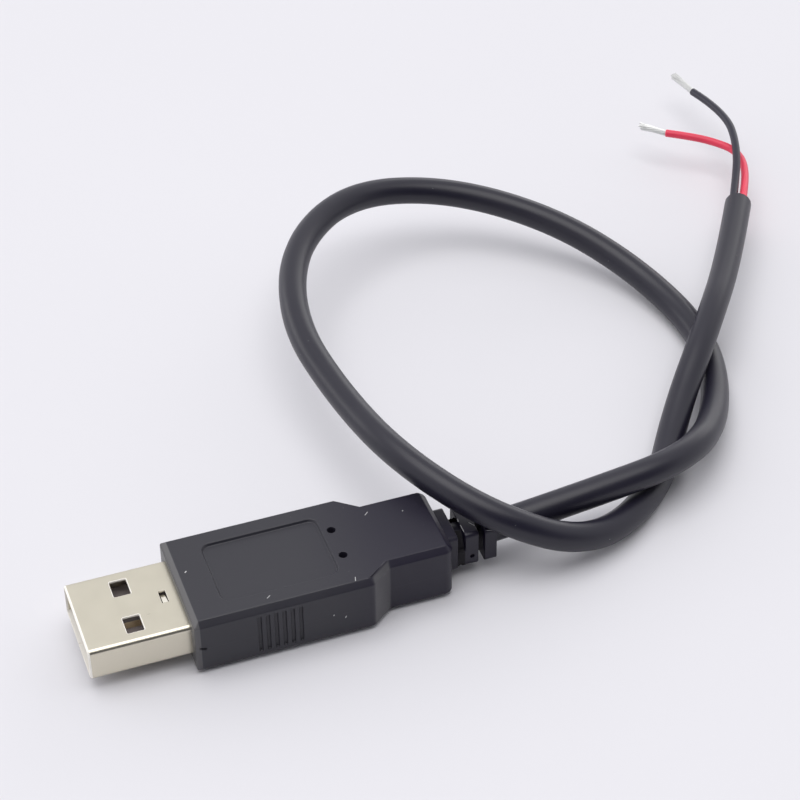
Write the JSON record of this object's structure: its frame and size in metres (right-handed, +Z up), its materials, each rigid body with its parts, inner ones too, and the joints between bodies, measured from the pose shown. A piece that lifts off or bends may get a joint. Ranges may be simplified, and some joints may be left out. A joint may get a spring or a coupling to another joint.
{
  "type": "usb power cable",
  "caption": "Short power lead with a flat rectangular USB-A plug, a moulded grip with strain relief, and a round cable that ends in stripped wires.",
  "frame": {"origin": "bottom centre of the plug's box, from its mouth to the end of its strain relief", "axes": "+X from the plug's mouth towards the cable, +Y across the plug, +Z up from the plug's underside"},
  "size_m": [0.1137, 0.0887, 0.0128],
  "materials": {
    "shell_steel": "satin nickel plate",
    "insulator_plastic": "matt",
    "contact_plating": "polished gold flash",
    "solder": "bright solder",
    "grip_pvc": "fine matt texture",
    "jacket_pvc": "satin",
    "red_insulation": "satin",
    "black_insulation": "satin",
    "tinned_copper": "tinned strands"
  },
  "bodies": {
    "root": {"plug_shell": "shell_steel", "contact_insulator": "insulator_plastic", "contact_vbus": "contact_plating", "contact_data_minus": "contact_plating", "contact_data_plus": "contact_plating", "contact_ground": "contact_plating", "solder_joint_vbus": "solder", "solder_joint_ground": "solder", "overmould_grip": "grip_pvc", "cable_jacket": "jacket_pvc", "red_wire_lead": "red_insulation", "black_wire_lead": "black_insulation", "red_wire": "red_insulation", "black_wire": "black_insulation", "red_wire_strands": "tinned_copper", "black_wire_strands": "tinned_copper"}
  },
  "joints": []
}
